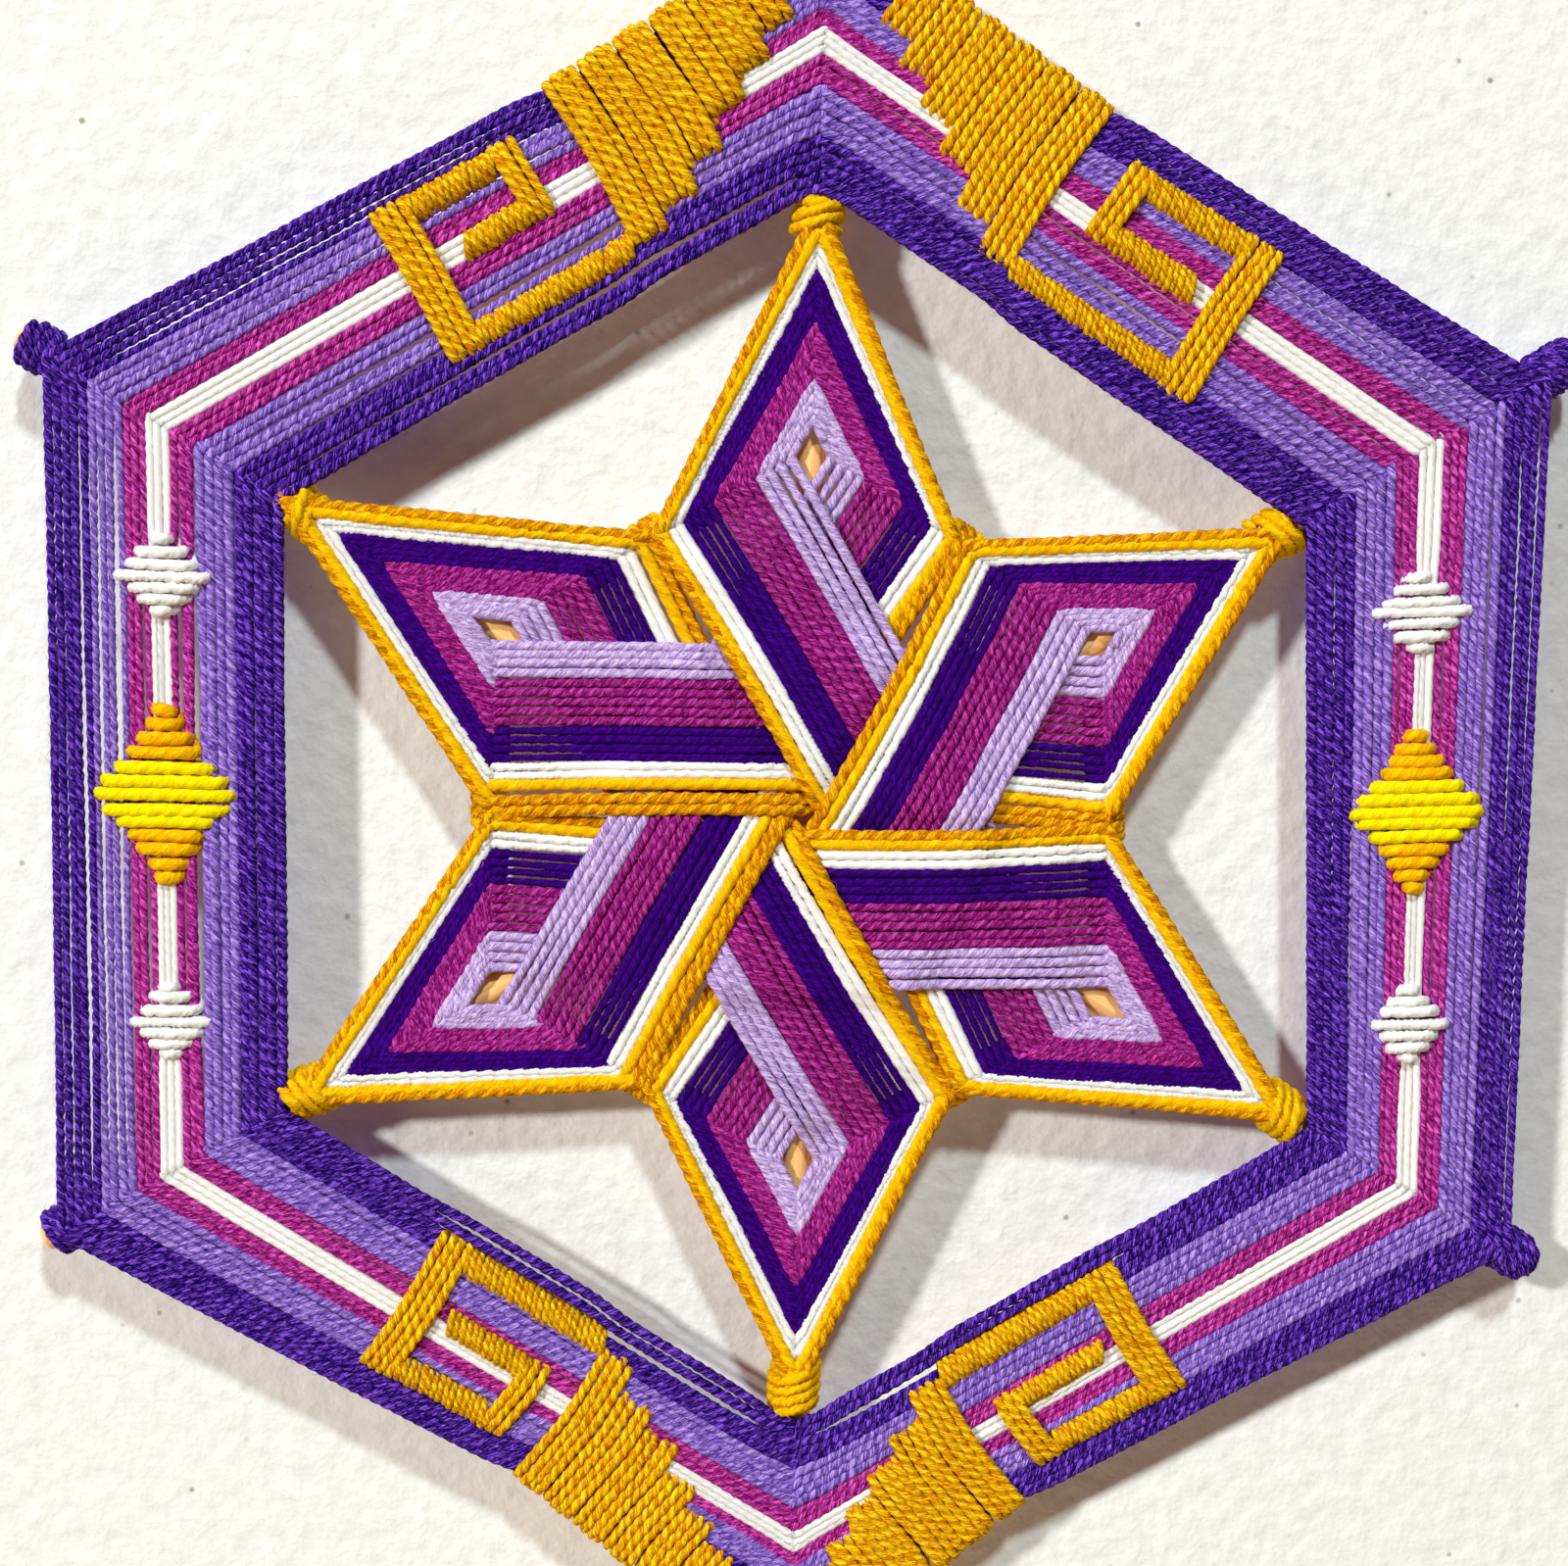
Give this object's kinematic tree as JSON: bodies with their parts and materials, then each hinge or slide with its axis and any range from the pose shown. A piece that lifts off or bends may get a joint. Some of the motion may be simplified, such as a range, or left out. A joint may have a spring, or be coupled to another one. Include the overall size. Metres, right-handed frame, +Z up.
{
  "type": "ojo de dios wall mandala",
  "caption": "Hexagonal yarn mandala on crossed sticks: an interlaced six-petal star inside a striped wound frame with stepped keys and diamonds, hung flat on a wall.",
  "frame": {"origin": "where the three long sticks cross, in their common mid-plane", "axes": "+Z up along the upright stick, front towards -Y, +X to the right seen from the front"},
  "size_m": [0.2864, 0.0111, 0.3278],
  "materials": {
    "wood": "bare turned dowel",
    "indigo_yarn": "matt plied acrylic yarn",
    "violet_yarn": "matt plied acrylic yarn",
    "magenta_yarn": "matt plied acrylic yarn",
    "white_yarn": "matt plied acrylic yarn",
    "lavender_yarn": "matt plied acrylic yarn",
    "yellow_yarn": "matt plied acrylic yarn",
    "mustard_yarn": "matt plied acrylic yarn"
  },
  "bodies": {
    "root": {"cross_stick_1": "wood", "cross_stick_2": "wood", "cross_stick_3": "wood", "cross_stick_4": "wood", "cross_stick_5": "wood", "cross_stick_6": "wood", "frame_indigo_inner": "indigo_yarn", "frame_indigo_outer": "indigo_yarn", "frame_magenta_inner": "magenta_yarn", "frame_magenta_outer": "magenta_yarn", "frame_violet_inner": "violet_yarn", "frame_violet_outer": "violet_yarn", "frame_white": "white_yarn", "key_1": "mustard_yarn", "key_2": "mustard_yarn", "key_3": "mustard_yarn", "key_4": "mustard_yarn", "star_indigo_a": "indigo_yarn", "star_indigo_b": "indigo_yarn", "star_lavender_a": "lavender_yarn", "star_lavender_b": "lavender_yarn", "star_magenta_a": "magenta_yarn", "star_magenta_b": "magenta_yarn", "star_mustard_a": "mustard_yarn", "star_mustard_b": "mustard_yarn", "star_white_a": "white_yarn", "star_white_b": "white_yarn", "star_yellow_a": "yellow_yarn", "star_yellow_b": "yellow_yarn", "stepped_block_1": "mustard_yarn", "stepped_block_2": "mustard_yarn", "stepped_block_3": "mustard_yarn", "stepped_block_4": "mustard_yarn", "stick_falling": "wood", "stick_rising": "wood", "stick_upright": "wood", "stub_whipping_1": "indigo_yarn", "stub_whipping_2": "indigo_yarn", "stub_whipping_3": "indigo_yarn", "stub_whipping_4": "indigo_yarn", "stub_whipping_5": "indigo_yarn", "stub_whipping_6": "indigo_yarn", "tip_whipping_1": "yellow_yarn", "tip_whipping_2": "yellow_yarn", "tip_whipping_3": "yellow_yarn", "tip_whipping_4": "yellow_yarn", "tip_whipping_5": "yellow_yarn", "tip_whipping_6": "yellow_yarn", "white_diamond_1": "white_yarn", "white_diamond_2": "white_yarn", "white_diamond_3": "white_yarn", "white_diamond_4": "white_yarn", "yellow_diamond_1": "yellow_yarn", "yellow_diamond_2": "yellow_yarn"}
  },
  "joints": []
}
